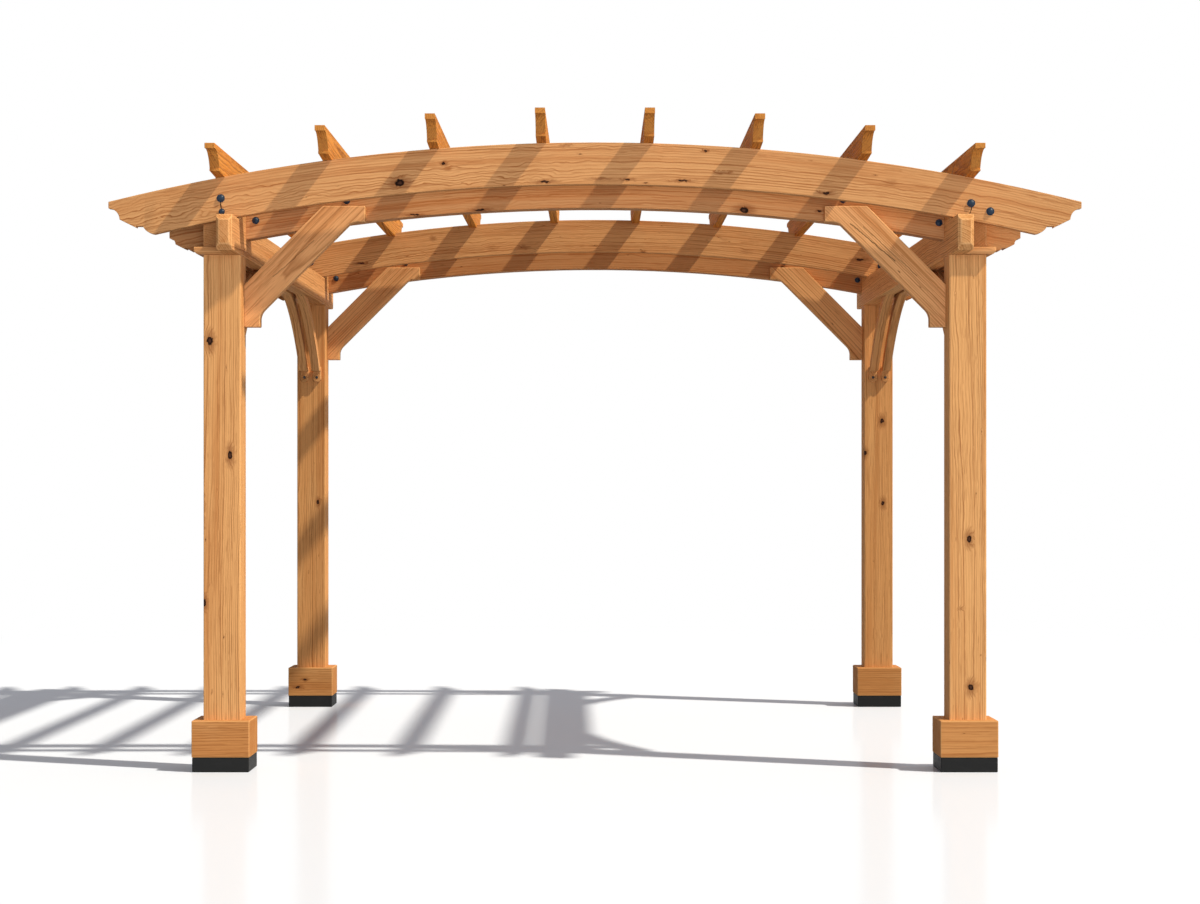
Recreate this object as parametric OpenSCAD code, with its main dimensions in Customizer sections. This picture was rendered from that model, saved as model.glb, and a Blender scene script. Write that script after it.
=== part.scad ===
// Timber pergola: four posts, two arched bents of paired boards, paired side beams and rafters.
// Millimetres. Ground at z = 0, origin at the middle of the plan, front towards -Y.

/* [Plan] */
// Distance between post centres across the front
span_x = 3050; // [2700:10:3500]
// Distance between post centres from front to back
span_y = 3050; // [2400:10:4200]
// Height of the front posts and of the underside of the side beams on them
beam_z = 2114; // [1900:2:2600]
// Fall of the whole roof from the rear posts to the front posts
fall = 45; // [0:1:80]

/* [Posts] */
// Width of each square post
post_w = 152; // [138:1:180]
// Height of the black foot under a post
foot_h = 60; // [30:1:100]
// Set-back of the foot inside the base trim
foot_in = 2; // [0:1:12]
// Thickness of the trim boxed round the base of a post
trim_t = 42; // [20:1:60]
// Height of the base trim
trim_h = 150; // [90:1:260]
// Overhang of the cap past the post
cap_over = 34; // [15:1:45]
// Thickness of the cap under the outer side beam
cap_h = 28; // [16:1:40]
// Bevel on the lower edges of the cap
cap_bevel = 10; // [2:1:14]

/* [Side beams] */
// Thickness of one side beam
beam_t = 64; // [50:1:66]
// Depth of a side beam
beam_d = 142; // [110:1:180]
// Length of the inner beams past the posts
beam_over = 240; // [180:5:300]
// Chamfer round the ends of the inner beams
beam_chamfer = 22; // [5:1:30]

/* [Arches] */
// Radius of the top edge of the upper arch boards
arch_r = 8250; // [7000:50:11000]
// Depth of an upper arch board
arch_d = 170; // [140:1:200]
// Thickness of an upper arch board
arch_t = 45; // [30:1:70]
// Length of an upper arch past the post centres
arch_over = 455; // [380:5:560]
// Depth that the upper arch is let over the inner beams
arch_let = 6; // [4:1:25]
// Upright tip left on the end of an upper arch
arch_tip = 27; // [15:1:50]
// Length of the scroll cut under the end of an upper arch
scroll_l = 190; // [120:5:230]
// Depth of a lower arch board
low_d = 150; // [130:1:180]
// Thickness of a lower arch board
low_t = 89; // [45:1:110]
// Length of a lower arch past the post centres
low_over = 242; // [220:5:320]
// Drop from the underside of the upper arch to that of the lower arch
low_drop = 75; // [55:1:95]
// Upright tip left on the end of a lower arch
low_tip = 84; // [70:1:95]
// Length of the scroll cut under the end of a lower arch
low_scroll_l = 105; // [70:5:120]
// Height of the block between the arches at each post
block_h = 100; // [60:1:120]

/* [Knee braces] */
// Length of a knee brace along the post and along the arch
knee_leg = 500; // [420:5:600]
// Clear corner left above a knee brace
knee_open = 325; // [250:5:380]
// Width of the sloping part of a knee brace
knee_w = 131; // [90:1:150]
// Thickness of a knee brace
knee_t = 56; // [38:1:100]
// Width of the square toes of a knee brace
knee_toe = 65; // [45:1:90]
// Radius where a toe runs into the slope
knee_r = 60; // [20:1:90]
// Height of the top of a knee brace above the side beams
knee_up = 67; // [40:1:90]

/* [Curved braces] */
// Radius of the underside of a curved brace
curve_r = 1550; // [1200:10:2400]
// Depth of a curved brace
curve_d = 50; // [35:1:70]
// Thickness of a curved brace
curve_t = 42; // [30:1:52]
// Length of a curved brace along the side beam
curve_reach = 834; // [650:2:1000]
// Height of a curved brace from the beam to its foot
curve_drop = 360; // [280:5:480]
// Depth of the ledge above the foot tab
curve_ledge = 90; // [70:1:110]
// Thickness of the foot tab
tab_t = 28; // [18:1:40]
// Height of the foot tab below the ledge
tab_h = 56; // [45:1:80]

/* [Rafters] */
// Number of rafters
rafter_n = 8; // [4:1:8]
// Thickness of a rafter
rafter_t = 40; // [30:1:60]
// Height of a rafter above the upper arches
rafter_up = 105; // [90:1:140]
// Depth that a rafter is let over the upper arches
rafter_let = 15; // [8:1:25]
// Length of the rafters past the post centres
rafter_over = 391; // [360:1:480]
// Radius of the cove under a rafter end
cove_r = 115; // [90:1:120]
// Size of the nib where the cove ends
nib = 9; // [4:1:12]

/* [Hidden] */

half_x = span_x / 2;
half_y = span_y / 2;
half_w = post_w / 2;
trim_w = post_w + 2 * trim_t;
beam_gap = post_w - 2 * beam_t;
beam_top = beam_z + beam_d;
cap_w = half_w + cap_over;
rafter_d = rafter_up + rafter_let;
rafter_l = half_y + rafter_over;
pitch = asin(fall / span_y);
wood = [0.80, 0.57, 0.34];
black = [0.14, 0.14, 0.15];
arc_fn = 1440;

// height of an arc of radius r over the distance x from its middle
function arc_z(r, x) = sqrt(r * r - x * x);
// centre heights of the two arches, set from their seats on the side beams
upper_c = beam_top - arch_let - arc_z(arch_r - arch_d, half_x);
lower_c = upper_c - low_drop;
lower_r = arch_r - arch_d + low_d;

// centre of the curved braces, from the ledge and the beam end of their undersides
curve_mid = [(curve_ledge + curve_reach) / 2, -curve_drop / 2];
curve_run = [curve_reach - curve_ledge, curve_drop];
curve_len = norm(curve_run);
curve_c = curve_mid + [curve_run[1], -curve_run[0]] / curve_len * arc_z(curve_r, curve_len / 2);

module at_post(sx, sy) translate([sx * half_x, sy * half_y, 0]) children();
module flip_x(s) mirror([s > 0 ? 1 : 0, 0, 0]) children();
module square_post(w, z0, z1) translate([-w / 2, -w / 2, z0]) cube([w, w, z1 - z0]);
// the roof tipped about the tops of the front posts
module tipped()
    translate([0, -half_y, beam_z]) rotate([pitch, 0, 0]) translate([0, half_y, -beam_z]) children();
// all the space over the tops of the posts
module over_posts() tipped() translate([-span_x, -span_y, beam_z]) cube([2 * span_x, 2 * span_y, span_y]);
// an upright outline in the XZ plane, t thick towards +Y
module upright(y, t) translate([0, y + t, 0]) rotate([90, 0, 0]) linear_extrude(t) children();

module foot(sx, sy)
    color(black) at_post(sx, sy) square_post(trim_w - 2 * foot_in, 0, foot_h);

module post(sx, sy)
    color(wood) difference() {
        at_post(sx, sy) square_post(post_w, foot_h, beam_z + 2 * fall + 10);
        over_posts();
    }

module trim(sx, sy)
    color(wood) at_post(sx, sy) difference() {
        square_post(trim_w, foot_h, foot_h + trim_h);
        square_post(post_w, foot_h - 1, foot_h + trim_h + 1);
    }

// a plate as thick as the cap, bevelled along its lower edges
module cap_profile()
    upright(-cap_w, 2 * cap_w) polygon([
        [-cap_w, beam_z + cap_h], [-cap_w, beam_z + cap_bevel], [cap_bevel - cap_w, beam_z],
        [cap_w - cap_bevel, beam_z], [cap_w, beam_z + cap_bevel], [cap_w, beam_z + cap_h]
    ]);

// cap on the outer half of a post, up against the inner beam
module cap(sx, sy)
    color(wood) tipped() at_post(sx, sy) flip_x(-sx) intersection() {
        cap_profile();
        rotate([0, 0, 90]) cap_profile();
        translate([-beam_gap / 2, -cap_w, 0]) cube([2 * cap_w, 2 * cap_w, beam_top]);
    }

// half lengths l and widths t with chamfered corners
module chamfered(l, t, c)
    polygon([
        [c - l, -t], [l - c, -t], [l, c - t], [l, t - c],
        [l - c, t], [c - l, t], [-l, t - c], [-l, c - t]
    ]);

module inner_beam(sx) {
    l = half_y + half_w + beam_over;
    x = sx * (half_x - (beam_gap + beam_t) / 2);
    color(wood) tipped() translate([x, 0, beam_z + beam_d / 2]) intersection() {
        translate([-beam_t / 2, 0, 0]) rotate([90, 0, 90])
            linear_extrude(beam_t) chamfered(l, beam_d / 2, beam_chamfer);
        translate([0, 0, -beam_d / 2]) rotate([0, 0, 90])
            linear_extrude(beam_d) chamfered(l, beam_t / 2, beam_chamfer / 2);
    }
}

// outer beam: flush with the posts and cut out over the caps
module outer_beam(sx) {
    l = half_y + half_w;
    x = sx * (half_x + (beam_gap + beam_t) / 2);
    color(wood) tipped() difference() {
        translate([x - beam_t / 2, -l, beam_z]) cube([beam_t, 2 * l, beam_d]);
        for (s = [-1, 1]) translate([x - beam_t, s * half_y - cap_w, beam_z - 1])
            cube([2 * beam_t, 2 * cap_w, cap_h + 1]);
    }
}

// scroll under the end of an arch: cove, slope, nib and belly over the length l inwards
module scroll_cut(l) {
    k = l / 190;
    difference() {
        union() {
            polygon(k * [
                [200, 0], [0, 0], [0, -45], [-45, -45], [-112, -78], [-112, -72],
                [-190, -72], [-190, -400], [200, -400]
            ]);
            translate(k * [0, -45]) circle(r = 45 * k, $fn = 96);
        }
        translate(k * [-190, -49]) circle(r = 55 * k, $fn = 96);
    }
}

// arched board with arc centre height c, radii r0 and r1 and half length l, seated on beams w wide in all
module arch_outline(c, r0, r1, l, tip, scroll, w)
    difference() {
        intersection() {
            translate([0, c]) circle(r = r1, $fn = arc_fn);
            translate([-l, c + r0 / 2]) square([2 * l, r1]);
        }
        translate([0, c]) circle(r = r0, $fn = arc_fn);
        for (s = [0, 1]) mirror([s, 0]) {
            translate([l, c + arc_z(r1, l) - tip]) scroll_cut(scroll);
            translate([half_x - half_w, beam_z - 200]) square([w, beam_d + 200]);
        }
    }

module upper_arch(sy)
    color(wood) tipped() upright(sy * half_y - half_w - arch_t, arch_t)
        arch_outline(upper_c, arch_r - arch_d, arch_r, half_x + arch_over, arch_tip, scroll_l, beam_t);

module lower_arch(sy)
    color(wood) tipped() upright(sy * half_y + half_w, low_t)
        arch_outline(lower_c, arch_r - arch_d, lower_r, half_x + low_over, low_tip, low_scroll_l, post_w);

module block(sx, sy)
    color(wood) tipped() at_post(sx, sy) square_post(post_w, beam_top, beam_top + block_h);

// rounding that fills the inner corner where a square toe meets the slope
module knee_fillet(p) {
    t = knee_r * tan(22.5);
    d = t * sqrt(0.5);
    difference() {
        polygon([p, p + [t, 0], p + [-d, -d]]);
        translate(p + [t, -knee_r]) circle(r = knee_r, $fn = 96);
    }
}

// knee brace seen from the front: x inwards from the post, y up from its top
module knee_outline() {
    low = knee_open + knee_w * sqrt(2);
    in = low - knee_toe;
    polygon([
        [0, -knee_open], [knee_open, 0], [knee_leg, 0], [knee_leg, -knee_toe],
        [in, -knee_toe], [knee_toe, -in], [knee_toe, -knee_leg], [0, -knee_leg]
    ]);
    knee_fillet([in, -knee_toe]);
    rotate(90) mirror([0, 1]) rotate(180) knee_fillet([in, -knee_toe]);
}

module knee_brace(sx, sy)
    color(wood) tipped() flip_x(sx) translate([half_w - half_x, 0, beam_top + knee_up])
        upright(sy * half_y + half_w - knee_t, knee_t) knee_outline();

// curved brace seen from the side: x out from the post, y up from the beam's underside
module curve_outline() {
    intersection() {
        difference() {
            translate(curve_c) circle(r = curve_r + curve_d, $fn = arc_fn);
            translate(curve_c) circle(r = curve_r, $fn = arc_fn);
        }
        translate([0, -curve_drop]) square([curve_reach, curve_drop + fall]);
    }
    translate([0, -curve_drop - tab_h]) square([tab_t, tab_h + curve_d / 2]);
}

// rounded lower end of a curved brace seen from the front
module tab_round() {
    r = curve_t / 2;
    translate([0, beam_z - curve_drop - tab_h + r]) {
        circle(r = r, $fn = 96);
        translate([-r, 0]) square([curve_t, curve_drop + tab_h + fall]);
    }
}

module curved_braces(sx, sy)
    color(wood) difference() {
        translate([0, 0, sy > 0 ? fall : 0]) at_post(sx, sy) mirror([0, sy > 0 ? 1 : 0, 0])
            for (s = [-1, 1]) translate([s * (beam_gap + curve_t) / 2, 0, 0]) intersection() {
                translate([-curve_t / 2, half_w, beam_z]) rotate([90, 0, 90])
                    linear_extrude(curve_t) curve_outline();
                upright(0, half_y) tab_round();
            }
        over_posts();
    }

// material cut away under the end of a rafter: cove, nib and a slope back to [run, drop]
module rafter_cut(run, drop) {
    c = 20 - rafter_l;
    lip = arc_z(cove_r, 38) + c;
    difference() {
        translate([c, -97 - 38]) circle(r = cove_r, $fn = 96);
        translate([lip - nib, -97]) square([3 * nib, nib]);
    }
    polygon([
        [-rafter_l - 200, -97], [lip + 10, -97], [run - rafter_l, -drop],
        [run - rafter_l, -rafter_d - 50], [-rafter_l - 200, -rafter_d - 50]
    ]);
}

module rafter_outline()
    difference() {
        translate([-rafter_l, -rafter_d]) square([2 * rafter_l, rafter_d]);
        rafter_cut(rafter_over - half_w - arch_t, rafter_up);
        mirror([1, 0]) rafter_cut(210, rafter_d);
    }

module rafter(i)
    if (i <= rafter_n) {
        x = (i - 1) * span_x / (rafter_n - 1) - half_x;
        top = upper_c + arc_z(arch_r, x) + rafter_up;
        color(wood) tipped() difference() {
            translate([x - rafter_t / 2, (top - beam_z) * tan(pitch), top]) rotate([90, 0, 90])
                linear_extrude(rafter_t) rafter_outline();
            for (s = [-1, 1]) upright(s * half_y - half_w - arch_t, arch_t)
                translate([0, upper_c]) circle(r = arch_r, $fn = arc_fn);
        }
    }

foot(-1, -1);  // foot_front_left
foot(1, -1);  // foot_front_right
foot(-1, 1);  // foot_rear_left
foot(1, 1);  // foot_rear_right
post(-1, -1);  // post_front_left
post(1, -1);  // post_front_right
post(-1, 1);  // post_rear_left
post(1, 1);  // post_rear_right
trim(-1, -1);  // trim_front_left
trim(1, -1);  // trim_front_right
trim(-1, 1);  // trim_rear_left
trim(1, 1);  // trim_rear_right
cap(-1, -1);  // cap_front_left
cap(1, -1);  // cap_front_right
cap(-1, 1);  // cap_rear_left
cap(1, 1);  // cap_rear_right
outer_beam(-1);  // side_beam_left_outer
inner_beam(-1);  // side_beam_left_inner
inner_beam(1);  // side_beam_right_inner
outer_beam(1);  // side_beam_right_outer
upper_arch(-1);  // upper_arch_front
lower_arch(-1);  // lower_arch_front
upper_arch(1);  // upper_arch_rear
lower_arch(1);  // lower_arch_rear
block(-1, -1);  // block_front_left
block(1, -1);  // block_front_right
block(-1, 1);  // block_rear_left
block(1, 1);  // block_rear_right
knee_brace(-1, -1);  // knee_brace_front_left
knee_brace(1, -1);  // knee_brace_front_right
knee_brace(-1, 1);  // knee_brace_rear_left
knee_brace(1, 1);  // knee_brace_rear_right
curved_braces(-1, -1);  // curved_braces_front_left
curved_braces(1, -1);  // curved_braces_front_right
curved_braces(-1, 1);  // curved_braces_rear_left
curved_braces(1, 1);  // curved_braces_rear_right
rafter(1);  // rafter_1
rafter(2);  // rafter_2
rafter(3);  // rafter_3
rafter(4);  // rafter_4
rafter(5);  // rafter_5
rafter(6);  // rafter_6
rafter(7);  // rafter_7
rafter(8);  // rafter_8
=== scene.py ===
import math
import random

import bmesh
import bpy
from mathutils import Matrix, Vector


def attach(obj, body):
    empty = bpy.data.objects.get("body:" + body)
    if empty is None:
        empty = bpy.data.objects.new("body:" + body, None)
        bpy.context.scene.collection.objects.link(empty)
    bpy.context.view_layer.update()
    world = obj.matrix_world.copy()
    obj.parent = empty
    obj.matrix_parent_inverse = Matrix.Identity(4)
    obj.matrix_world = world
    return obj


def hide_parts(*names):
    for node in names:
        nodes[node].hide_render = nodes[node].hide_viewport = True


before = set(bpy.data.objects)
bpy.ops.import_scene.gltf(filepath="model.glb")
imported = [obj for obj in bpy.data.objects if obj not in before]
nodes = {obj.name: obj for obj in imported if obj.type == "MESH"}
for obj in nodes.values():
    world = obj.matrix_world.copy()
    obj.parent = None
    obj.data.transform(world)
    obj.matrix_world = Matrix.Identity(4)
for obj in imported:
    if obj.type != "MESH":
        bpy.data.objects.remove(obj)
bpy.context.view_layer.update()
scene = bpy.context.scene
print("frame loaded:", len(nodes), "timbers and feet")

corners = {
    "front_left": (-1, -1), "front_right": (1, -1), "rear_left": (-1, 1), "rear_right": (1, 1),
}
plan = {"postOut": 1.525, "postHalf": 0.076}  # middle to the axis of a post, half a post's width


# camera: level, standing in front, as the photo is taken
cameraLook = {
    "lens": 71.07, "sensor": 36.0, "shiftX": 0.0042, "shiftY": 0.04,
    "place": (0.0, -11.286, 1.109), "clipEnd": 500.0,
}


def addCamera(look):
    data = bpy.data.cameras.new("viewCamera")
    data.lens, data.sensor_width = look["lens"], look["sensor"]
    data.shift_x, data.shift_y = look["shiftX"], look["shiftY"]
    data.clip_end = look["clipEnd"]
    cam = bpy.data.objects.new("viewCamera", data)
    cam.location = look["place"]
    cam.rotation_euler = (math.radians(90), 0, 0)
    scene.collection.objects.link(cam)
    scene.camera = cam


addCamera(cameraLook)
print("camera placed")


# node helpers for the finishes, the fasteners and the studio
class NodeBench:
    def __init__(self, tree):
        self.tree = tree
        self.tree.nodes.clear()

    def add(self, kind, **values):
        node = self.tree.nodes.new(kind)
        for key, value in values.items():
            setattr(node, key, value)
        return node

    def plug(self, socket, value):
        if isinstance(value, bpy.types.NodeSocket):
            self.tree.links.new(value, socket)
        elif value is not None:
            socket.default_value = value

    def math(self, op, a, b=None, c=None, clamp=False):
        node = self.add("ShaderNodeMath", operation=op, use_clamp=clamp)
        for i, value in enumerate((a, b, c)):
            self.plug(node.inputs[i], value)
        return node.outputs[0]

    def vec(self, op, a, b=None):
        node = self.add("ShaderNodeVectorMath", operation=op)
        self.plug(node.inputs[0], a)
        self.plug(node.inputs[1], b)
        return node.outputs["Value" if op in ("LENGTH", "DOT_PRODUCT") else "Vector"]

    def noise(self, vector, scale, detail=2.0, rough=0.5, give="Fac"):
        node = self.add("ShaderNodeTexNoise")
        self.plug(node.inputs["Vector"], vector)
        for label, value in (("Scale", scale), ("Detail", detail), ("Roughness", rough)):
            node.inputs[label].default_value = value
        return node.outputs[give]

    def stir(self, vector, scale, amount):
        swirl = self.vec("SUBTRACT", self.noise(vector, scale, give="Color"), (0.5, 0.5, 0.5))
        return self.vec("ADD", vector, self.vec("MULTIPLY", swirl, (amount, amount, amount)))

    def spread(self, value, low, high, toLow=0.0, toHigh=1.0):
        node = self.add("ShaderNodeMapRange", interpolation_type="SMOOTHSTEP")
        self.plug(node.inputs["Value"], value)
        node.inputs["From Min"].default_value, node.inputs["From Max"].default_value = low, high
        node.inputs["To Min"].default_value, node.inputs["To Max"].default_value = toLow, toHigh
        return node.outputs["Result"]

    def ramp(self, value, stops):
        node = self.add("ShaderNodeValToRGB")
        self.plug(node.inputs["Fac"], value)
        bar = node.color_ramp.elements
        while len(bar) < len(stops):
            bar.new(0.5)
        for mark, (place, shade) in zip(bar, stops):
            mark.position, mark.color = place, (shade, shade, shade, 1.0)
        return node.outputs["Color"]

    def blend(self, factor, a, b):
        node = self.add("ShaderNodeMix", data_type="RGBA")
        self.plug(node.inputs["Factor"], factor)
        self.plug(node.inputs["A"], a)
        self.plug(node.inputs["B"], b)
        return node.outputs["Result"]

    def relief(self, height, strength, depth):
        node = self.add("ShaderNodeBump")
        node.inputs["Strength"].default_value = strength
        node.inputs["Distance"].default_value = depth
        self.plug(node.inputs["Height"], height)
        return node.outputs["Normal"]

    def surface(self, colour, rough, gloss, normal=None):
        shader = self.add("ShaderNodeBsdfPrincipled")
        self.plug(shader.inputs["Base Color"], colour)
        self.plug(shader.inputs["Roughness"], rough)
        self.plug(shader.inputs["Specular IOR Level"], gloss)
        self.plug(shader.inputs["Normal"], normal)
        self.show(shader)

    def show(self, shader, kind="ShaderNodeOutputMaterial"):
        self.plug(self.add(kind).inputs["Surface"], shader.outputs[0])

    def mixShaders(self, factor, first, second):
        node = self.add("ShaderNodeMixShader")
        for i, value in enumerate((factor, first.outputs[0], second.outputs[0])):
            self.plug(node.inputs[i], value)
        return node

    def seenRay(self):  # 1 where the floor or the sky is looked at, 0 where it only lights
        ray = self.add("ShaderNodeLightPath").outputs
        mirrored = self.math("MAXIMUM", ray["Is Glossy Ray"], ray["Is Transmission Ray"])
        return self.math("MAXIMUM", ray["Is Camera Ray"], mirrored)


def newFinish(name):
    mat = bpy.data.materials.new(name)
    mat.use_nodes = True
    return mat, NodeBench(mat.node_tree)


def tint(r, g, b):  # sRGB from 0 to 255, made linear
    shares = (r / 255, g / 255, b / 255)
    return tuple(c / 12.92 if c <= 0.04045 else ((c + 0.055) / 1.055) ** 2.4 for c in shares) + (1.0,)


# oiled softwood: growth rings round a heart line, fibres along the timber, knots, streaks and splits
woodBasics = {
    "runs": {  # how often a pattern turns in a metre, along the grain and across it
        "heart": (0.0, 1.0), "pins": (1.5, 6.0), "drift": (0.7, 2.0), "wave": (1.1, 4.0),
        "curl": (16.0, 40.0), "pace": (0.3, 9.0), "streak": (0.7, 24.0), "fibre": (9.0, 420.0),
        "cloud": (1.6, 7.0),
    },
    "stirs": {  # scale and size of the wobble
        "knots": (50.0, 0.018), "pins": (40.0, 0.01), "line": (9.0, 0.012), "splits": (30.0, 0.012),
    },
    "spans": {  # where a pattern starts and ends, and its strength at both
        "knotCore": (0.8, 1.15, 1.0, 0.0), "knotHeart": (0.25, 0.75, 1.0, 0.0),
        "knotHalo": (0.3, 1.3, 1.0, 0.0), "pinCore": (0.6, 1.2, 0.85, 0.0),
        "pinHalo": (0.8, 2.6, 0.6, 0.0), "smudge": (0.2, 1.3), "split": (0.0009, 0.0026, 1.0, 0.0),
        "wave": (0.42, 0.66, 0.3, 1.7), "year": (0.0, 1.0, 0.25, 1.0), "fade": (0.3, 0.7, 0.55, 1.0),
        "paleTone": (-1.0, 0.0, 0.35, 0.0), "redTone": (0.0, 1.0, 0.0, 0.3),
        "cloud": (0.52, 0.8, 0.0, 0.45), "streak": (0.45, 0.75), "line": (0.5, 0.68),
        "fibre": (0.4, 0.75, 0.0, 0.25), "rough": (0.3, 0.7),
    },
    "ringStops": [(0.0, 0.2), (0.18, 0.0), (0.5, 0.12), (0.75, 0.65), (0.88, 1.0), (1.0, 0.2)],
    "farOff": 9.0, "markDepth": 0.030, "stainAcross": 2.1, "stainAlong": 3.2, "pinSize": (0.05, 0.015),
    "knotPush": 0.012, "pace": 3.0, "edgeWearAndHighlight": 0.3, "haloMix": 0.62, "heartMix": 0.6,
    "splitDepth": 0.006, "roughLess": 0.07, "roughMore": 0.08,
    "ringHeight": 0.5, "fibreHeight": 0.6, "sunk": 0.8, "relief": (0.4, 0.0014),
}


def woodFinish(name, look, marks):
    base = woodBasics
    runs, stirs, spans = base["runs"], base["stirs"], base["spans"]
    mat, n = newFinish(name)
    grain = n.add("ShaderNodeAttribute", attribute_name="grain").outputs["Vector"]
    sawnEnd = n.add("ShaderNodeAttribute", attribute_name="sawnEnd").outputs["Fac"]
    easedEdge = n.add("ShaderNodeAttribute", attribute_name="easedEdge").outputs["Fac"]
    tone = n.add("ShaderNodeAttribute", attribute_name="tone").outputs["Fac"]
    place = n.add("ShaderNodeTexCoord").outputs["Object"]
    bent = n.stir(place, *stirs["knots"])

    def drawn(run, source=grain):
        along, across = run
        return n.vec("MULTIPLY", source, (along, across, across))

    def pattern(run, detail, rough=0.5, source=grain):
        return n.noise(drawn(run, source), 1.0, detail, rough)

    def cut(value, span, *strengths):
        return n.spread(value, *spans[span], *strengths)

    def centred(value):
        return n.math("SUBTRACT", value, 0.5)

    def nearest(kind, byAcross=1.0, byAlong=1.0):  # 1 at the rim of the nearest mark
        found, axis = base["farOff"], marks.get("axis", 0)
        for y, spots in marks.get(kind, {}).items():
            for x, z, across, along in spots:
                reach = [base["markDepth"] * byAcross] * 3
                reach[2 - axis] = across * byAcross
                reach[axis] = along * byAlong
                off = n.vec("SUBTRACT", bent, (x, y, z))
                share = n.vec("LENGTH", n.vec("MULTIPLY", off, tuple(1.0 / v for v in reach)))
                found = n.math("MINIMUM", found, share)
        return found

    # knots named by place, each with a longer stain along the grain, and pin knots scattered about
    knot, smear = nearest("knots"), nearest("smudges")
    stain = nearest("knots", base["stainAcross"], base["stainAlong"])
    cells = n.add("ShaderNodeTexVoronoi", feature="F1", distance="EUCLIDEAN")
    n.plug(cells.inputs["Vector"], drawn(runs["pins"], n.stir(grain, *stirs["pins"])))
    pick = n.add("ShaderNodeSeparateColor")
    n.plug(pick.inputs[0], cells.outputs["Color"])
    pinSize = n.math("MULTIPLY_ADD", pick.outputs[0], *base["pinSize"])
    pin = n.math("DIVIDE", cells.outputs["Distance"], pinSize)
    core = n.math("MAXIMUM", cut(knot, "knotCore"), cut(pin, "pinCore"))
    halo = n.math("MAXIMUM", cut(stain, "knotHalo"), cut(pin, "pinHalo"))
    halo = n.math("MAXIMUM", halo, cut(smear, "smudge", look["smudge"], 0.0))
    # rings: each with its own depth of colour, calm in some lengths and wavy in others
    wave = cut(pattern(runs["wave"], 1.0), "wave")
    swings = {
        "drift": centred(pattern(runs["drift"], 1.0)),
        "ripple": n.math("MULTIPLY", centred(pattern(look["rippleRun"], 2.0)), wave),
        "curl": n.math("MULTIPLY", centred(pattern(runs["curl"], 2.0)), wave),
    }
    radius = n.vec("LENGTH", drawn(runs["heart"]))
    for key, swing in swings.items():
        radius = n.math("MULTIPLY_ADD", swing, look[key], radius)
    radius = n.math("MULTIPLY_ADD", halo, base["knotPush"], radius)
    turns = n.math("DIVIDE", radius, look["ring"])
    phase = n.math("MULTIPLY_ADD", pattern(runs["pace"], 1.0), base["pace"], turns)
    year = n.add("ShaderNodeTexWhiteNoise", noise_dimensions="1D")
    n.plug(year.inputs["W"], n.math("FLOOR", phase))
    ring = n.ramp(n.math("FRACT", phase), base["ringStops"])
    ring = n.math("MULTIPLY", ring, cut(year.outputs["Value"], "year"))
    # streaks, fibres and broad changes of tone
    streak = pattern(runs["streak"], 3.0, 0.6)
    fibre = pattern(runs["fibre"], 3.0, 0.65)
    line = pattern(look["lineRun"], 2.0, 0.65, n.stir(grain, *stirs["line"]))
    cloud = pattern(runs["cloud"], 3.0, 0.6)
    late = n.math("MULTIPLY", n.math("MULTIPLY", ring, cut(cloud, "fade")), look["contrast"])
    layers = [
        (cut(tone, "paleTone"), "pale"), (cut(tone, "redTone"), "red"), (cut(cloud, "cloud"), "pale"),
        (cut(streak, "streak", 0.0, look["streak"]), "red"), (late, "late"),
        (cut(line, "line", 0.0, look["line"]), "late"), (cut(fibre, "fibre"), "late"),
        # eased edges made paler: partly wear on the rubbed edges, partly a painted highlight along them
        (n.math("MULTIPLY", easedEdge, base["edgeWearAndHighlight"]), "pale"),
        (n.math("MULTIPLY", sawnEnd, look["endMix"]), "end"),
        (n.math("MULTIPLY", halo, base["haloMix"]), "knotRim"),
    ]
    wood = look["early"]
    for share, shade in layers:
        wood = n.blend(share, wood, look[shade])
    heart = n.math("MULTIPLY", cut(knot, "knotHeart"), base["heartMix"])
    wood = n.blend(core, wood, n.blend(heart, look["knot"], look["knotHeart"]))
    # splits: thin wavy lines on one face, from point to point
    gape = 0.0
    for x0, z0, x1, z1, y, depth in marks.get("splits", ()):
        way = (x1 - x0, 0.0, z1 - z0)
        wavy = n.vec("SUBTRACT", n.stir(place, *stirs["splits"]), (x0, 0.0, z0))
        off = n.vec("MULTIPLY", wavy, (1.0, 0.0, 1.0))
        perLength = 1.0 / (way[0] * way[0] + way[2] * way[2])
        part = n.math("MULTIPLY", n.vec("DOT_PRODUCT", off, way), perLength, clamp=True)
        walk = n.add("ShaderNodeVectorMath", operation="SCALE")
        n.plug(walk.inputs[0], way)
        n.plug(walk.inputs["Scale"], part)
        gap = n.vec("LENGTH", n.vec("SUBTRACT", off, walk.outputs[0]))
        inward = n.vec("MULTIPLY", n.vec("SUBTRACT", place, (0.0, y, 0.0)), (0.0, 1.0, 0.0))
        near = n.math("LESS_THAN", n.vec("LENGTH", inward), base["splitDepth"])
        crack = n.math("MULTIPLY", n.math("MULTIPLY", cut(gap, "split"), near), depth)
        gape = n.math("MAXIMUM", gape, crack)
    wood = n.blend(gape, wood, look["knot"])
    raised = n.math("MULTIPLY", fibre, base["fibreHeight"])
    raised = n.math("MULTIPLY_ADD", ring, base["ringHeight"], raised)
    sunk = n.math("MULTIPLY", n.math("ADD", core, gape), base["sunk"])
    normal = n.relief(n.math("SUBTRACT", raised, sunk), *base["relief"])
    rough = cut(fibre, "rough", look["rough"] - base["roughLess"], look["rough"] + base["roughMore"])
    n.surface(wood, rough, look["gloss"], normal)
    return mat


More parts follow.
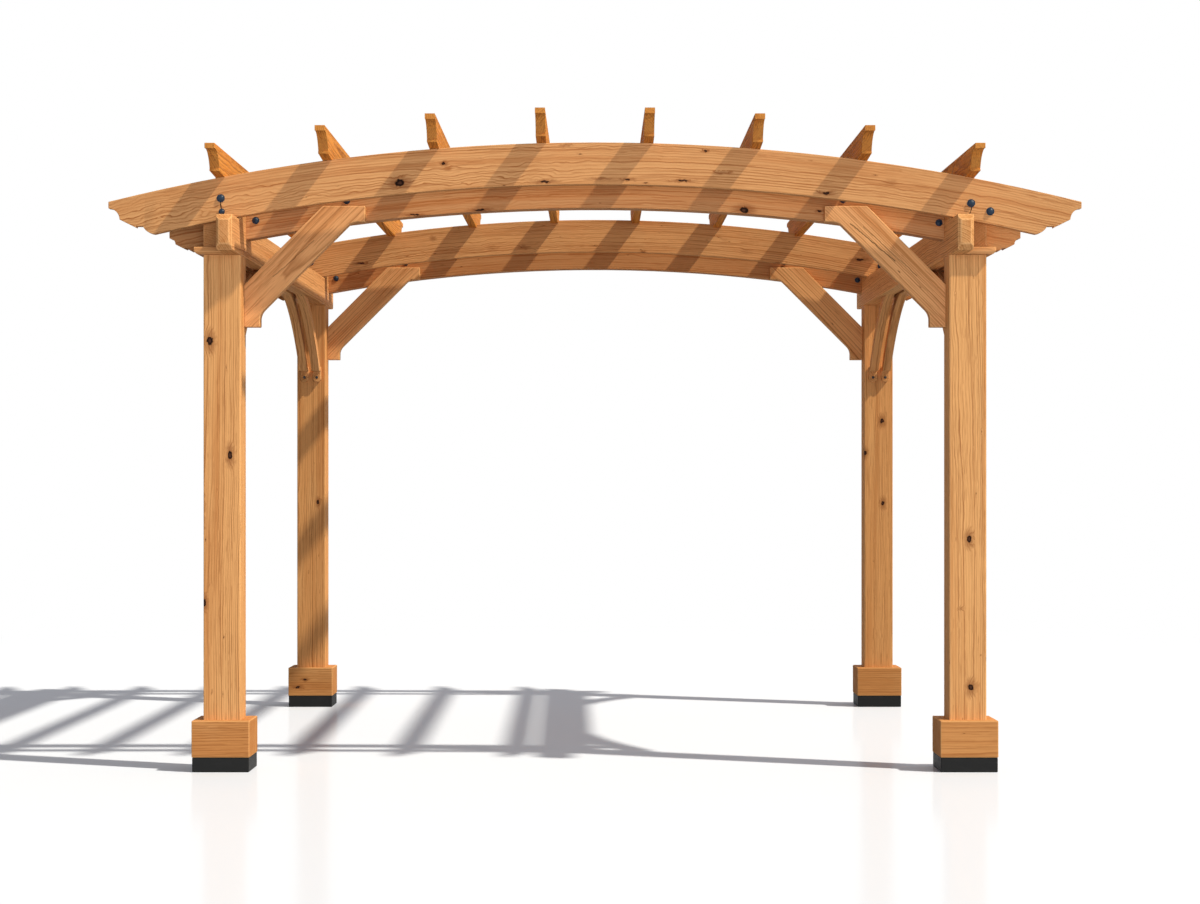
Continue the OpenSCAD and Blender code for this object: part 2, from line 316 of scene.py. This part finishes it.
honey = {
    "early": tint(222, 164, 106), "late": tint(136, 80, 40), "red": tint(184, 116, 62),
    "pale": tint(232, 182, 124), "end": tint(170, 114, 62), "endMix": 0.35,
    "knotRim": tint(126, 72, 40), "knot": tint(30, 20, 17), "knotHeart": tint(92, 60, 46),
    "ring": 0.0064, "drift": 0.05, "ripple": 0.010, "rippleRun": (4.5, 13.0), "curl": 0.002,
    "contrast": 0.9, "streak": 0.6, "line": 0.42, "lineRun": (1.6, 170.0), "smudge": 0.6,
    "rough": 0.62, "gloss": 0.015,
}
archHoney = dict(
    honey, early=tint(212, 158, 106), pale=tint(223, 172, 117), red=tint(178, 113, 64),
    late=tint(146, 84, 42), ring=0.0105, drift=0.06, ripple=0.034, rippleRun=(8.0, 13.0), curl=0.006,
    contrast=1.0, line=0.45, lineRun=(1.6, 140.0), smudge=0.9,
)
# the lower arches: the arch wood made darker, as painted shade for boards that sit back under the upper
# arches
lowArchShadedHoney = dict(
    archHoney, early=tint(192, 141, 95), pale=tint(203, 154, 107), line=0.55, lineRun=(1.6, 120.0),
)
trimHoney = dict(honey, early=tint(201, 143, 88), ring=0.009, ripple=0.012, contrast=0.7, line=0.4)
beamHoney = dict(honey, early=tint(224, 166, 112), ring=0.0085, ripple=0.014)
rafterHoney = dict(
    honey, early=tint(216, 144, 68), red=tint(182, 101, 40), pale=tint(228, 159, 80),
    end=tint(176, 118, 60), endMix=0.45, ring=0.008, contrast=1.0, line=0.6, lineRun=(1.6, 130.0),
    ripple=0.016,
)

# how far back the faces lie that carry marks and bolts
faces = {
    "postFront": -1.601, "postRear": 1.449, "trimRear": 1.407,
    "upperFront": -1.646, "upperFrontBack": -1.601, "upperRear": 1.404, "upperRearBack": 1.449,
    "lowFront": -1.449, "lowFrontBack": -1.360, "lowRear": 1.601, "lowRearBack": 1.690,
    "kneeFront": -1.505,
}
# knots and smudges on each face: x, z, half width across the grain, half length along it
postMarks = {
    "axis": 2,
    "knots": {
        faces["postFront"]: [
            (-1.574, 1.759, 0.013, 0.018), (-1.492, 1.293, 0.010, 0.018), (-1.596, 0.690, 0.008, 0.014),
            (1.529, 0.950, 0.011, 0.015), (1.537, 0.342, 0.012, 0.014)],
        faces["postRear"]: [
            (-1.489, 1.098, 0.008, 0.011), (1.543, 1.534, 0.012, 0.014), (1.452, 1.362, 0.009, 0.012),
            (1.548, 1.093, 0.010, 0.013)],
    },
    "smudges": {
        faces["postFront"]: [
            (-1.572, 1.795, 0.013, 0.026), (-1.600, 1.07, 0.008, 0.110), (-1.485, 1.266, 0.022, 0.016),
            (-1.592, 0.668, 0.012, 0.024), (1.496, 0.665, 0.018, 0.012), (1.536, 0.975, 0.008, 0.030),
            (1.552, 0.352, 0.020, 0.020)],
    },
}
trimMarks = {
    "knots": {faces["trimRear"]: [(-1.592, 0.107, 0.007, 0.012), (-1.554, 0.150, 0.006, 0.009)]},
}
archMarks = {
    "knots": {
        faces["upperFront"]: [
            (-0.794, 2.399, 0.014, 0.019), (-0.615, 2.477, 0.006, 0.007), (0.448, 2.529, 0.004, 0.006),
            (0.940, 2.358, 0.005, 0.014), (0.358, 2.407, 0.004, 0.020), (-0.204, 2.404, 0.005, 0.020),
            (0.134, 2.411, 0.003, 0.012)],
        faces["upperFrontBack"]: [(1.2, 2.40, 0.010, 0.013)],
        faces["upperRear"]: [
            (-1.253, 2.376, 0.005, 0.018), (0.257, 2.427, 0.007, 0.009), (1.419, 2.396, 0.006, 0.020)],
        faces["upperRearBack"]: [(-0.55, 2.46, 0.011, 0.014), (0.81, 2.44, 0.012, 0.017)],
    },
    "smudges": {
        faces["upperFront"]: [
            (-0.760, 2.404, 0.012, 0.030), (0.52, 2.44, 0.008, 0.045), (-0.12, 2.55, 0.007, 0.040),
            (0.02, 2.415, 0.008, 0.060)],
        faces["upperRear"]: [
            (-0.868, 2.510, 0.018, 0.022), (-0.380, 2.462, 0.016, 0.040), (-1.253, 2.336, 0.010, 0.040),
            (0.257, 2.430, 0.022, 0.024), (0.975, 2.379, 0.008, 0.030)],
    },
    "splits": [  # from x, z to x, z, on the face, how dark
        (-1.522, 2.322, -1.519, 2.262, faces["upperFront"], 1.0),
        (1.530, 2.302, 1.527, 2.268, faces["upperFront"], 1.0),
        (1.527, 2.268, 1.517, 2.238, faces["upperFront"], 1.0),
    ],
}
lowMarks = {
    "knots": {
        faces["lowFront"]: [
            (0.620, 2.313, 0.014, 0.017), (0.934, 2.309, 0.004, 0.008), (-0.478, 2.313, 0.004, 0.020),
            (-0.748, 2.294, 0.004, 0.020), (0.216, 2.417, 0.004, 0.015)],
        faces["lowFrontBack"]: [(0.35, 2.36, 0.012, 0.015), (-0.9, 2.30, 0.010, 0.016)],
        faces["lowRear"]: [(1.023, 2.372, 0.008, 0.010)],
        faces["lowRearBack"]: [
            (1.02, 2.330, 0.012, 0.016), (-0.41, 2.392, 0.011, 0.015), (-1.2, 2.27, 0.009, 0.012)],
    },
}
beamMarks = {
    "splits": [
        (1.053, 2.250, 1.240, 2.095, faces["kneeFront"], 0.8),
        (1.110, 2.235, 1.330, 2.035, faces["kneeFront"], 0.5),
        (-1.33, 2.03, -1.16, 2.18, faces["kneeFront"], 0.45),
    ],
}

finishes = {
    "post": woodFinish("postWood", honey, postMarks),
    "trim": woodFinish("trimWood", trimHoney, trimMarks),
    "beam": woodFinish("beamWood", beamHoney, beamMarks),
    "arch": woodFinish("archWood", archHoney, archMarks),
    "lowArch": woodFinish("lowArchShadedWood", lowArchShadedHoney, lowMarks),
    "rafter": woodFinish("rafterWood", rafterHoney, {}),
}
print("wood finishes mixed:", len(finishes))


# the roof falls towards the front, tipped about the tops of the front posts
roof = {"fall": 0.045, "pivot": Vector((0.0, -plan["postOut"], 2.114))}
roof["tilt"] = Matrix.Rotation(math.asin(roof["fall"] / (2 * plan["postOut"])), 3, "X")


def tipped(p):
    return roof["tilt"] @ (Vector(p) - roof["pivot"]) + roof["pivot"]


def onRoof(run):
    level = roof["tilt"].inverted()
    return lambda p: run(level @ (p - roof["pivot"]) + roof["pivot"])


def lifted(z, sy):  # what sits on the longer rear posts is higher by the fall
    return z + (roof["fall"] if sy > 0 else 0.0)


# how the grain runs: the way along a timber, then two ways across it
def runAlong(axis):
    order = {"x": (0, 1, 2), "y": (1, 0, 2), "z": (2, 0, 1)}[axis]
    return lambda p: Vector((p[order[0]], p[order[1]], p[order[2]]))


def runSloped(dirX):
    along = Vector((dirX, 0, 1)).normalized()
    across = Vector((-along.z, 0, along.x))
    return lambda p: Vector((p.dot(along), p.dot(across), p.y))


def runArched(look):
    def turn(p):
        up = p.z - look["centre"]
        return Vector((math.atan2(p.x, up) * look["radius"], p.y, math.hypot(p.x, up) - look["radius"]))
    return turn


def runCurved(centreY, centreZ, radius):
    def turn(p):
        out, up = p.y - centreY, p.z - centreZ
        return Vector((math.atan2(out, up) * radius, p.x, math.hypot(out, up) - radius))
    return turn


# timbers: each takes its shape from its solid, with eased edges and its grain run along it
timberCut = {
    "weld": 2e-5, "flat": 0.25, "sharp": 24.0, "smooth": 16.0, "segments": 2, "profile": 0.6,
    "probe": 1e-3, "endLead": 6e-4, "startWithin": 40.0, "heartSpread": (0.75, 1.3),
}
attributeKinds = {
    "grain": ("FLOAT_VECTOR", "POINT"), "tone": ("FLOAT", "POINT"),
    "sawnEnd": ("FLOAT", "FACE"), "easedEdge": ("FLOAT", "FACE"),
}


def cleanSolid(node, flat):
    bm = bmesh.new()
    bm.from_mesh(nodes[node].data)
    bmesh.ops.remove_doubles(bm, verts=bm.verts, dist=timberCut["weld"])
    bmesh.ops.dissolve_limit(bm, angle_limit=math.radians(flat), verts=bm.verts, edges=bm.edges)
    return bm


def easeEdges(bm, edges, ease, segments, profile):
    made = bmesh.ops.bevel(bm, geom=edges, offset=ease, offset_type="OFFSET", segments=segments,
                           profile=profile, affect="EDGES", clamp_overlap=True)
    return made["faces"]


def sliceAcross(bm, axis, step):  # closer points where the grain bends
    low = min(v.co[axis] for v in bm.verts)
    high = max(v.co[axis] for v in bm.verts)
    normal = Vector([1.0 if i == axis else 0.0 for i in range(3)])
    for k in range(1, int((high - low) / step)):
        bmesh.ops.bisect_plane(bm, geom=bm.verts[:] + bm.edges[:] + bm.faces[:],
                               plane_co=normal * (low + k * step), plane_no=normal)


def timber(node, look, run, seed):
    rnd = random.Random(seed)
    bm = cleanSolid(node, timberCut["flat"])
    mark = bm.faces.layers.int.new("easedMark")
    least = math.radians(timberCut["sharp"])
    sharp = [e for e in bm.edges if len(e.link_faces) == 2 and e.calc_face_angle(0) > least]
    for face in easeEdges(bm, sharp, look["ease"], timberCut["segments"], timberCut["profile"]):
        face[mark] = 1
    for axis, step in look.get("slices", ()):
        sliceAcross(bm, axis, step)
    bmesh.ops.triangulate(bm, faces=[f for f in bm.faces if len(f.verts) > 4])
    mesh = bpy.data.meshes.new(node)
    bm.faces.ensure_lookup_table()
    marks = [float(f[mark]) for f in bm.faces]
    bm.to_mesh(mesh)
    bm.free()
    mesh.attributes.remove(mesh.attributes["easedMark"])
    heart = [rnd.uniform(0, timberCut["startWithin"])]
    for off in look["heart"]:
        heart.append(off * rnd.uniform(*timberCut["heartSpread"]) * rnd.choice((-1, 1)))
    heart = Vector(heart)
    middle = sum((run(v.co) for v in mesh.vertices), Vector()) / len(mesh.vertices)
    # a tone set for the piece, partly the wood's own and partly painted light and shade, else a random
    # tone of the wood
    shade = look.get("tonesAndPaintedLight", {}).get(node, rnd.uniform(-1, 1))
    for label, (kind, domain) in attributeKinds.items():
        mesh.attributes.new(label, kind, domain)
    grain, tone, sawn, edge = (mesh.attributes[label].data for label in attributeKinds)
    for v in mesh.vertices:
        grain[v.index].vector = run(v.co) - middle + heart
        tone[v.index].value = shade
    for face in mesh.polygons:
        lead = run(face.center + face.normal * timberCut["probe"]) - run(face.center)
        isEnd = abs(lead.x) > timberCut["endLead"] and not marks[face.index]
        sawn[face.index].value = 1.0 if isEnd else 0.0
        edge[face.index].value = marks[face.index]
        face.use_smooth = True
    mesh.set_sharp_from_angle(angle=math.radians(timberCut["smooth"]))
    mesh.materials.append(finishes[look["finish"]])
    piece = bpy.data.objects.new("timber_" + node, mesh)
    scene.collection.objects.link(piece)
    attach(piece, "root")
    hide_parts(node)


# each kind of timber: eased edge, heart line off the middle, and a tone set per piece as measured,
# partly the wood's own tone and partly painted light and shade
posts = {
    "finish": "post", "slot": "post_wood", "ease": 0.005, "heart": (0.20, 0.16),
    # per post: partly the wood's own tone; the rear left post darker as painted shade for the shadow
    # stripes that fall on it
    "tonesAndPaintedLight": {
        "post_front_left": -0.5, "post_front_right": -1.0, "post_rear_left": 0.5, "post_rear_right": 0.1,
    },
}
trims = {
    "finish": "trim", "slot": "trim_wood", "ease": 0.004, "heart": (0.12, 0.10),
    "tonesAndPaintedLight": {"trim_front_left": 0.8, "trim_front_right": -0.1},
}
caps = {"finish": "beam", "slot": "beam_wood", "ease": 0.003, "heart": (0.10, 0.08)}
sideBeams = {
    "finish": "beam", "slot": "beam_wood", "ease": 0.004, "heart": (0.09, 0.12),
    # the right inner beam at its palest, as painted light on its sunlit end
    "tonesAndPaintedLight": {"side_beam_left_inner": 0.4, "side_beam_right_inner": -1.0},
}
upperArches = {
    "finish": "arch", "slot": "arch_wood", "ease": 0.004, "heart": (0.07, 0.19), "slices": [(0, 0.05)],
    "centre": -5.685, "radius": 8.165, "tonesAndPaintedLight": {"upper_arch_front": -0.2, "upper_arch_rear": -0.6},
}
lowerArches = dict(upperArches, centre=-5.760, finish="lowArch", tonesAndPaintedLight={})
blocks = {"finish": "beam", "slot": "beam_wood", "ease": 0.004, "heart": (0.10, 0.10)}
kneeBraces = {
    "finish": "beam", "slot": "beam_wood", "ease": 0.004, "heart": (0.05, 0.09),
    "tonesAndPaintedLight": {"knee_brace_front_left": 0.3, "knee_brace_front_right": -0.3},
}
curvedBraces = {
    "finish": "beam", "slot": "beam_wood", "ease": 0.003, "heart": (0.06, 0.08), "slices": [(1, 0.03)],
    "centreOut": 1.113, "centreZ": 0.589, "radius": 1.575,
}
rafters = {"finish": "rafter", "slot": "rafter_wood", "ease": 0.003, "heart": (0.07, 0.05), "count": 8}

seed = 11
for corner, (sx, sy) in corners.items():
    timber("post_" + corner, posts, runAlong("z"), seed)
    timber("trim_" + corner, trims, runAlong("x"), seed + 1)
    timber("cap_" + corner, caps, onRoof(runAlong("x")), seed + 2)
    timber("block_" + corner, blocks, onRoof(runAlong("x")), seed + 3)
    timber("knee_brace_" + corner, kneeBraces, onRoof(runSloped(-sx)), seed + 4)
    centreY = sy * (plan["postOut"] - plan["postHalf"] - curvedBraces["centreOut"])
    curve = runCurved(centreY, lifted(curvedBraces["centreZ"], sy), curvedBraces["radius"])
    timber("curved_braces_" + corner, curvedBraces, curve, seed + 5)
    seed += 10
for name in ("left_outer", "left_inner", "right_inner", "right_outer"):
    seed += 1
    timber("side_beam_" + name, sideBeams, onRoof(runAlong("y")), seed)
for bent in ("front", "rear"):
    timber("upper_arch_" + bent, upperArches, onRoof(runArched(upperArches)), seed + 5)
    timber("lower_arch_" + bent, lowerArches, onRoof(runArched(lowerArches)), seed + 6)
    seed += 10
for i in range(1, rafters["count"] + 1):
    timber("rafter_%d" % i, rafters, onRoof(runAlong("y")), seed + i)
print("timbers dressed")


# black feet: moulded, with a soft edge
feet = {
    "flat": 1.0, "ease": 0.004, "segments": 3, "profile": 0.5, "relief": (0.2, 0.0008),
    "colour": tint(34, 35, 36), "worn": tint(44, 44, 46), "wornSpan": (0.45, 0.75, 0.0, 0.4),
    "speck": 260.0, "scuff": (14.0, 14.0, 40.0), "roughSpan": (0.3, 0.7, 0.5, 0.72), "gloss": 0.12,
}


def footFinish(look):
    mat, n = newFinish("footBlack")
    place = n.add("ShaderNodeTexCoord").outputs["Object"]
    speck = n.noise(place, look["speck"], 3.0, 0.6)
    scuff = n.noise(n.vec("MULTIPLY", place, look["scuff"]), 1.0, 3.0, 0.6)
    colour = n.blend(n.spread(scuff, *look["wornSpan"]), look["colour"], look["worn"])
    rough = n.spread(speck, *look["roughSpan"])
    n.surface(colour, rough, look["gloss"], n.relief(speck, *look["relief"]))
    return mat


footBlack = footFinish(feet)
for corner in corners:
    node = "foot_" + corner
    bm = cleanSolid(node, feet["flat"])
    easeEdges(bm, bm.edges[:], feet["ease"], feet["segments"], feet["profile"])
    mesh = bpy.data.meshes.new(node)
    bm.to_mesh(mesh)
    bm.free()
    mesh.materials.append(footBlack)
    piece = bpy.data.objects.new("pad_" + node, mesh)
    scene.collection.objects.link(piece)
    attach(piece, "root")
    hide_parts(node)
print("feet dressed")


# bolt heads and screws: a domed head on a rim, set out on points that carry their own aim and girth
headMesh = {"around": 28, "rings": 14, "smooth": 40.0}
steel = {
    "mottle": 320.0, "fleck": tint(18, 22, 28), "fleckSpan": (0.4, 0.7, 0.0, 0.35),
    "roughSpan": (0.3, 0.7, 0.32, 0.5), "gloss": 0.4,
}
bolts = {
    "headRadius": 0.0135, "headHeight": 0.008, "rimRadius": 0.0165, "rimHeight": 0.003,
    "colour": tint(14, 40, 62),
    "upper": [(-1.522, 2.338, 1.0), (-1.518, 2.284, 0.75), (1.530, 2.318, 1.0), (1.608, 2.285, 1.0)],
    "lower": [(-1.408, 2.268, 0.9), (1.428, 2.259, 0.9), (-1.030, 2.350, 0.85), (1.030, 2.352, 0.75)],
}
screws = {
    "headRadius": 0.006, "headHeight": 0.0025, "rimRadius": 0.0075, "rimHeight": 0.0012,
    "colour": tint(46, 42, 40), "sides": (-0.033, 0.033), "out": 1.421, "up": 1.722,
}


def fastenerTree(look):
    tree = bpy.data.node_groups.new("fastenerHeads", "GeometryNodeTree")
    face = tree.interface
    face.new_socket(name="Geometry", in_out="INPUT", socket_type="NodeSocketGeometry")
    for label in ("Head Radius", "Head Height", "Rim Radius", "Rim Height"):
        face.new_socket(name=label, in_out="INPUT", socket_type="NodeSocketFloat")
    face.new_socket(name="Finish", in_out="INPUT", socket_type="NodeSocketMaterial")
    face.new_socket(name="Geometry", in_out="OUTPUT", socket_type="NodeSocketGeometry")
    n = NodeBench(tree)
    given = n.add("NodeGroupInput").outputs
    rim = n.add("GeometryNodeMeshCylinder")
    rim.inputs["Vertices"].default_value = look["around"]
    n.plug(rim.inputs["Radius"], given["Rim Radius"])
    n.plug(rim.inputs["Depth"], n.math("MULTIPLY", given["Rim Height"], 2.0))
    ball = n.add("GeometryNodeMeshUVSphere")
    ball.inputs["Segments"].default_value = look["around"]
    ball.inputs["Rings"].default_value = look["rings"]
    n.plug(ball.inputs["Radius"], given["Head Radius"])
    squash = n.add("ShaderNodeCombineXYZ")
    squash.inputs[0].default_value = squash.inputs[1].default_value = 1.0
    n.plug(squash.inputs[2], n.math("DIVIDE", given["Head Height"], given["Head Radius"]))
    lift = n.add("ShaderNodeCombineXYZ")
    n.plug(lift.inputs[2], given["Rim Height"])
    dome = n.add("GeometryNodeTransform")
    n.plug(dome.inputs["Geometry"], ball.outputs["Mesh"])
    n.plug(dome.inputs["Scale"], squash.outputs[0])
    n.plug(dome.inputs["Translation"], lift.outputs[0])
    head = n.add("GeometryNodeJoinGeometry")
    n.plug(head.inputs[0], rim.outputs["Mesh"])
    n.plug(head.inputs[0], dome.outputs[0])
    aim = n.add("GeometryNodeInputNamedAttribute", data_type="FLOAT_VECTOR")
    aim.inputs["Name"].default_value = "aim"
    girth = n.add("GeometryNodeInputNamedAttribute", data_type="FLOAT")
    girth.inputs["Name"].default_value = "girth"
    turn = n.add("FunctionNodeAlignRotationToVector", axis="Z")
    n.plug(turn.inputs["Vector"], aim.outputs["Attribute"])
    spots = n.add("GeometryNodeInstanceOnPoints")
    n.plug(spots.inputs["Points"], given["Geometry"])
    n.plug(spots.inputs["Instance"], head.outputs[0])
    n.plug(spots.inputs["Rotation"], turn.outputs[0])
    n.plug(spots.inputs["Scale"], girth.outputs["Attribute"])
    real = n.add("GeometryNodeRealizeInstances")
    n.plug(real.inputs[0], spots.outputs[0])
    dress = n.add("GeometryNodeSetMaterial")
    n.plug(dress.inputs["Geometry"], real.outputs[0])
    n.plug(dress.inputs["Material"], given["Finish"])
    n.plug(n.add("NodeGroupOutput").inputs[0], dress.outputs[0])
    return tree


def coatedSteel(name, colour, look):
    mat, n = newFinish(name)
    place = n.add("ShaderNodeTexCoord").outputs["Object"]
    mottle = n.noise(place, look["mottle"], 3.0, 0.6)
    colour = n.blend(n.spread(mottle, *look["fleckSpan"]), colour, look["fleck"])
    n.surface(colour, n.spread(mottle, *look["roughSpan"]), look["gloss"])
    return mat


def setFasteners(name, look, spots):
    seat = bpy.data.meshes.new(name + "Spots")
    seat.from_pydata([s[0] for s in spots], [], [])
    for label, kind in (("aim", "FLOAT_VECTOR"), ("girth", "FLOAT")):
        seat.attributes.new(label, kind, "POINT")
    for i, (_, towards, size) in enumerate(spots):
        seat.attributes["aim"].data[i].vector = towards
        seat.attributes["girth"].data[i].value = size
    maker = bpy.data.objects.new(name + "Spots", seat)
    scene.collection.objects.link(maker)
    mod = maker.modifiers.new("heads", "NODES")
    mod.node_group = headTree
    sizes = {
        "Head Radius": look["headRadius"], "Head Height": look["headHeight"],
        "Rim Radius": look["rimRadius"], "Rim Height": look["rimHeight"],
        "Finish": coatedSteel(name + "Steel", look["colour"], steel),
    }
    for item in headTree.interface.items_tree:
        if item.in_out == "INPUT" and item.name in sizes:
            mod[item.identifier] = sizes[item.name]
    solid = maker.evaluated_get(bpy.context.evaluated_depsgraph_get())
    mesh = bpy.data.meshes.new_from_object(solid)
    mesh.name = name
    for face in mesh.polygons:
        face.use_smooth = True
    mesh.set_sharp_from_angle(angle=math.radians(headMesh["smooth"]))
    bpy.data.objects.remove(maker)
    piece = bpy.data.objects.new(name, mesh)
    scene.collection.objects.link(piece)
    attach(piece, "root")


headTree = fastenerTree(headMesh)
toFront, toBack = (0.0, -1.0, 0.0), (0.0, 1.0, 0.0)
boltSpots = []
for face in ("upperFront", "upperRear"):  # through the upper arches into the blocks on the posts
    for x, z, size in bolts["upper"]:
        boltSpots.append((tipped((x, faces[face], z)), toFront, size))
for face in ("lowFront", "lowRear"):  # through the lower arches, with nuts behind
    for x, z, size in bolts["lower"]:
        boltSpots.append((tipped((x, faces[face], z)), toFront, size))
        boltSpots.append((tipped((x, faces[face + "Back"], z)), toBack, size))
screwSpots = []
for sx, sy in corners.values():  # one in each tab of the curved braces
    for side in screws["sides"]:
        seat = (sx * plan["postOut"] + side, sy * screws["out"], lifted(screws["up"], sy))
        screwSpots.append((seat, (0.0, -sy, 0.0), 1.0))
setFasteners("boltHeads", bolts, boltSpots)
setFasteners("tabScrews", screws, screwSpots)
print("fasteners set:", len(boltSpots), "bolts,", len(screwSpots), "screws")


# floor, light and background
studio = {
    "floorHalf": 300.0, "floorSeen": (0.76, 0.825, 0.99, 1.0), "floorBounce": (0.15, 0.15, 0.15, 1.0),
    "floorGloss": 0.14, "floorRough": 0.14, "fade": (4.5, 9.0),
    "sun": 4.4, "sunTint": (1.0, 0.91, 0.72), "sunFrom": (0.76, -0.34, 1.0), "sunSize": 1.6,
    "fill": 0.32, "fillLeast": 0.05, "fillLean": (0.30, 0.14, 0.0), "fillTint": (1.0, 0.96, 0.92, 1.0),
    "boxes": {"frontBox": ((0.2, -7.5, 1.7), 210.0), "backBox": ((-0.2, 7.5, 1.9), 110.0)},
    "boxTint": (0.95, 0.97, 1.04), "boxSize": (4.0, 2.6), "boxAim": (0.0, 0.0, 1.4),
}


def addFloor(look):
    mesh = bpy.data.meshes.new("floor")
    s = look["floorHalf"]
    mesh.from_pydata([(-s, -s, 0), (s, -s, 0), (s, s, 0), (-s, s, 0)], [], [(0, 1, 2, 3)])
    floor = bpy.data.objects.new("floor", mesh)
    scene.collection.objects.link(floor)
    mat, n = newFinish("paleFloor")
    seen = n.seenRay()
    matt = n.add("ShaderNodeBsdfDiffuse")
    n.plug(matt.inputs["Color"], n.blend(seen, look["floorBounce"], look["floorSeen"]))
    gloss = n.add("ShaderNodeBsdfGlossy")
    gloss.inputs["Roughness"].default_value = look["floorRough"]
    near = n.mixShaders(look["floorGloss"], matt, gloss)
    reach = n.vec("LENGTH", n.add("ShaderNodeNewGeometry").outputs["Position"])
    far = n.math("MULTIPLY", n.spread(reach, *look["fade"]), seen)
    n.show(n.mixShaders(far, near, n.add("ShaderNodeEmission")))
    mesh.materials.append(mat)
    return floor


def addLight(name, kind, facing, tone, **values):
    data = bpy.data.lights.new(name, kind)
    data.color = tone
    for key, value in values.items():
        setattr(data, key, value)
    lamp = bpy.data.objects.new(name, data)
    lamp.rotation_euler = Vector(facing).to_track_quat("Z", "Y").to_euler()
    scene.collection.objects.link(lamp)
    return lamp


def addLights(look, floor):
    addLight("keySun", "SUN", look["sunFrom"], look["sunTint"],
             energy=look["sun"], angle=math.radians(look["sunSize"]))
    aside = bpy.data.collections.new("outOfSoftBoxes")  # the soft boxes leave floor and shadows alone
    aside.objects.link(floor)
    aside.collection_objects[0].light_linking.link_state = "EXCLUDE"
    wide, high = look["boxSize"]
    for label, (place, power) in look["boxes"].items():
        facing = Vector(place) - Vector(look["boxAim"])
        box = addLight(label, "AREA", facing, look["boxTint"],
                       energy=power, shape="RECTANGLE", size=wide, size_y=high)
        box.location = place
        box.visible_camera = box.visible_glossy = False
        box.light_linking.receiver_collection = aside


def addWorld(look):
    world = bpy.data.worlds.new("studioWorld")
    world.use_nodes = True
    n = NodeBench(world.node_tree)
    way = n.add("ShaderNodeTexCoord").outputs["Generated"]
    lean = n.math("ADD", n.vec("DOT_PRODUCT", way, look["fillLean"]), look["fill"])
    dim = n.add("ShaderNodeBackground")
    dim.inputs["Color"].default_value = look["fillTint"]
    n.plug(dim.inputs["Strength"], n.math("MAXIMUM", lean, look["fillLeast"]))
    white = n.add("ShaderNodeBackground")
    white.inputs["Color"].default_value, white.inputs["Strength"].default_value = (1, 1, 1, 1), 1.0
    n.show(n.mixShaders(n.seenRay(), dim, white), "ShaderNodeOutputWorld")
    scene.world = world


addLights(studio, addFloor(studio))
addWorld(studio)
scene.view_settings.view_transform = "Standard"
print("floor and light set")

bpy.context.view_layer.update()
